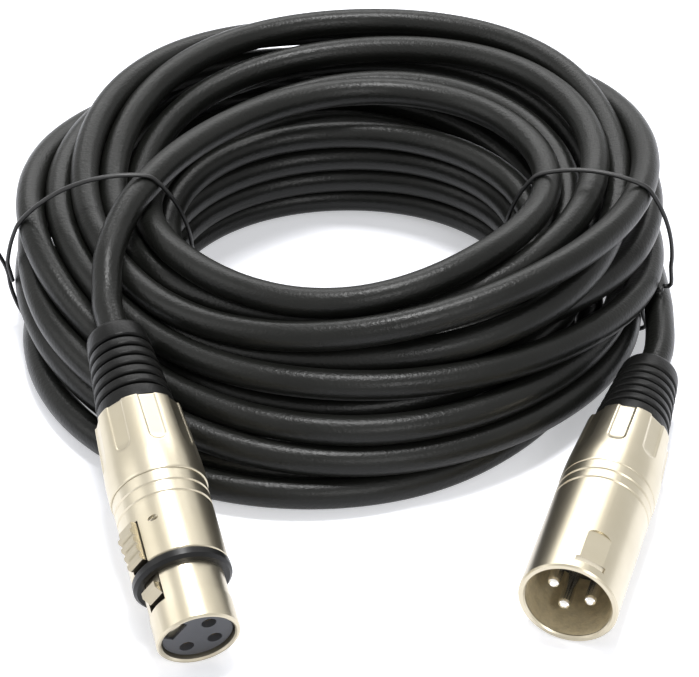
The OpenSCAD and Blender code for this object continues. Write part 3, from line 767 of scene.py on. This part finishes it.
surfaces = {
    "nickel": {"tones": [(0.56, 0.51, 0.4), (0.49, 0.44, 0.33)], "gloss": (0.28, 0.34), "metal": 1.0,
               "relief": (1100, 0.2, 0.00005)},
    # Latch metal: the nickel made darker as painted shade, holding down the lamp light that falls on the
    # latch
    "latch_nickel": {"tones": [(0.41, 0.37, 0.28), (0.34, 0.3, 0.22)], "gloss": (0.3, 0.38), "metal": 1.0,
                     "relief": (900, 0.15, 0.00005)},
    # Mouth wall metal: rough from casting, with a lighter tone that is painted light for the light bouncing
    # inside the plug's mouth
    "rough_nickel_painted_light": {"tones": [(0.9, 0.79, 0.56), (0.6, 0.52, 0.35)], "gloss": (0.38, 0.55), "metal": 0.6,
                     "relief": (1800, 0.6, 0.00012), "patches": 400},
    "insert_grey": {"tones": [(0.07, 0.072, 0.08), (0.055, 0.057, 0.064)], "gloss": (0.5, 0.6),
                    "relief": (1500, 0.2, 0.00005)},
    "insert_black": {"tones": [(0.02, 0.02, 0.022), (0.03, 0.03, 0.03)], "gloss": (0.45, 0.55),
                     "relief": (1500, 0.2, 0.00005)},
    "contact_gold": {"tones": [(0.75, 0.55, 0.25), (0.7, 0.5, 0.22)], "gloss": (0.21, 0.29), "metal": 1.0,
                     "relief": (900, 0.1, 0.00003)},
    "pin_silver": {"tones": [(0.88, 0.86, 0.82), (0.82, 0.8, 0.76)], "gloss": (0.16, 0.24), "metal": 1.0,
                   "relief": (900, 0.1, 0.00003)},
    "ring_black": {"tones": [(0.004, 0.004, 0.004), (0.007, 0.007, 0.007)], "gloss": (0.3, 0.38),
                   "shine": 0.25, "relief": (1400, 0.2, 0.00005)},
    "steel": {"tones": [(0.6, 0.6, 0.62), (0.52, 0.52, 0.54)], "gloss": (0.25, 0.35), "metal": 1.0,
              "relief": (900, 0.1, 0.00003)},
    "core_insulation": {"tones": [(0.5, 0.06, 0.05), (0.45, 0.05, 0.04)], "gloss": (0.35, 0.45),
                        "relief": (900, 0.1, 0.00003)},
    "chuck_white": {"tones": [(0.75, 0.75, 0.72), (0.7, 0.7, 0.67)], "gloss": (0.4, 0.5),
                    "relief": (900, 0.1, 0.00003)},
    "boot_rubber": {"tones": [(0.003, 0.003, 0.003), (0.006, 0.006, 0.0055)], "gloss": (0.34, 0.44),
                    "shine": 0.16, "relief": (1600, 0.5, 0.0001)},
    "cable_jacket": {"tones": [(0.0055, 0.0058, 0.005), (0.0085, 0.0088, 0.0078)], "gloss": (0.3, 0.4),
                     "shine": 0.22, "relief": (1500, 0.6, 0.00014)},
    "tie_plastic": {"tones": [(0.008, 0.008, 0.008), (0.013, 0.013, 0.013)], "gloss": (0.36, 0.46),
                    "shine": 0.4, "relief": (1200, 0.2, 0.00005)},
}


def newMaterial(name):
    material = bpy.data.materials.new(name)
    material.use_nodes = True
    return material, material.node_tree, material.node_tree.nodes["Principled BSDF"]


# Two tones, uneven gloss and a fine relief
def makeSurface(name, values):
    material, tree, shader = newMaterial(name)
    tone = addNode(tree, "ShaderNodeGroup", node_tree=unevenTone)
    tone.inputs["Scale"].default_value = values.get("patches", 60)
    mix = addNode(tree, "ShaderNodeMix", data_type="RGBA")
    mix.inputs["A"].default_value = (*values["tones"][0], 1)
    mix.inputs["B"].default_value = (*values["tones"][1], 1)
    gloss = addNode(tree, "ShaderNodeMapRange")
    gloss.inputs["To Min"].default_value, gloss.inputs["To Max"].default_value = values["gloss"]
    relief = addNode(tree, "ShaderNodeGroup", node_tree=fineRelief)
    for title, value in zip(("Scale", "Strength", "Distance"), values["relief"]):
        relief.inputs[title].default_value = value
    tree.links.new(tone.outputs["Mask"], mix.inputs["Factor"])
    tree.links.new(tone.outputs["Mask"], gloss.inputs["Value"])
    tree.links.new(mix.outputs["Result"], shader.inputs["Base Color"])
    tree.links.new(gloss.outputs["Result"], shader.inputs["Roughness"])
    tree.links.new(relief.outputs["Normal"], shader.inputs["Normal"])
    shader.inputs["Metallic"].default_value = values.get("metal", 0.0)
    shader.inputs["Specular IOR Level"].default_value = values.get("shine", 0.5)
    return material


materials = {name: makeSurface(name, values) for name, values in surfaces.items()}
for part in frame["record"]["subparts"]:
    piece = nodes[part["node"]]
    piece.data.materials.clear()
    piece.data.materials.append(materials[part["material_slot"]])
for piece in list(bpy.data.objects):
    if piece.type == "MESH" and piece.get("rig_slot") and not piece.data.materials:
        piece.data.materials.append(materials["rough_nickel_painted_light" if piece.get("wall") else piece["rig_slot"]])
print("materials")


# Floor and light: white wherever the background is seen, with the shadow kept on the floor

# 1 for rays that see the white background: camera, glossy and transmission
def backdropRays(tree):
    rays = addNode(tree, "ShaderNodeLightPath")
    seen = rays.outputs["Is Camera Ray"]
    for kind in ("Is Glossy Ray", "Is Transmission Ray"):
        either = addNode(tree, "ShaderNodeMath", operation="MAXIMUM")
        tree.links.new(seen, either.inputs[0])
        tree.links.new(rays.outputs[kind], either.inputs[1])
        seen = either.outputs["Value"]
    return seen


floorSize = 3.0
floorColor = (0.84, 0.85, 0.9, 1)
glowColor = (0.97, 0.98, 1, 1)
floorGlow = 0.42
worldLight = 0.42
floorCorners = [(x * floorSize, y * floorSize, 0) for x, y in ((-1, -1), (1, -1), (1, 1), (-1, 1))]
floor = addPiece("floor", floorCorners, [(0, 1, 2, 3)])
floorMaterial, floorTree, floorShader = newMaterial("paleFloor")
floorShader.inputs["Base Color"].default_value = floorColor
floorShader.inputs["Roughness"].default_value = 0.7
floorShader.inputs["Specular IOR Level"].default_value = 0.2
floorShader.inputs["Emission Color"].default_value = glowColor
glow = addNode(floorTree, "ShaderNodeMath", operation="MULTIPLY")
glow.inputs[1].default_value = floorGlow
floorTree.links.new(backdropRays(floorTree), glow.inputs[0])
floorTree.links.new(glow.outputs["Value"], floorShader.inputs["Emission Strength"])
floor.data.materials.append(floorMaterial)

sky = bpy.data.worlds.new("sky")
sky.use_nodes = True
skyTree = sky.node_tree
strength = addNode(skyTree, "ShaderNodeMath", operation="MULTIPLY_ADD")
strength.inputs[1].default_value = 1 - worldLight
strength.inputs[2].default_value = worldLight
skyTree.links.new(backdropRays(skyTree), strength.inputs[0])
skyTree.links.new(strength.outputs["Value"], skyTree.nodes["Background"].inputs["Strength"])
skyTree.nodes["Background"].inputs["Color"].default_value = (1, 1, 1, 1)
bpy.context.scene.world = sky

lamps = {
    "key": {"at": (0.02, 0.12, 0.9), "aim": (0, 0, 0), "size": (0.22, 0.18), "power": 7},
    "back": {"at": (0.0, 0.7, 0.6), "aim": (0, 0, 0), "size": (0.9, 0.3), "power": 4},
    "front": {"at": (0.3, -0.8, 0.7), "aim": (0.02, -0.09, 0.01), "size": (0.25, 0.25), "power": 2.5},
    "left": {"at": (-0.8, -0.1, 0.55), "aim": (0, 0, 0.01), "size": (0.5, 0.5), "power": 1.5},
}
for name, lamp in lamps.items():
    data = bpy.data.lights.new(name + "Lamp", "AREA")
    data.shape = "RECTANGLE"
    data.size, data.size_y = lamp["size"]
    data.energy = lamp["power"]
    light = bpy.data.objects.new(name + "Lamp", data)
    light.location = lamp["at"]
    light.rotation_euler = (Vector(lamp["aim"]) - Vector(lamp["at"])).to_track_quat("-Z", "Y").to_euler()
    bpy.context.scene.collection.objects.link(light)
bpy.context.scene.view_settings.view_transform = "Standard"
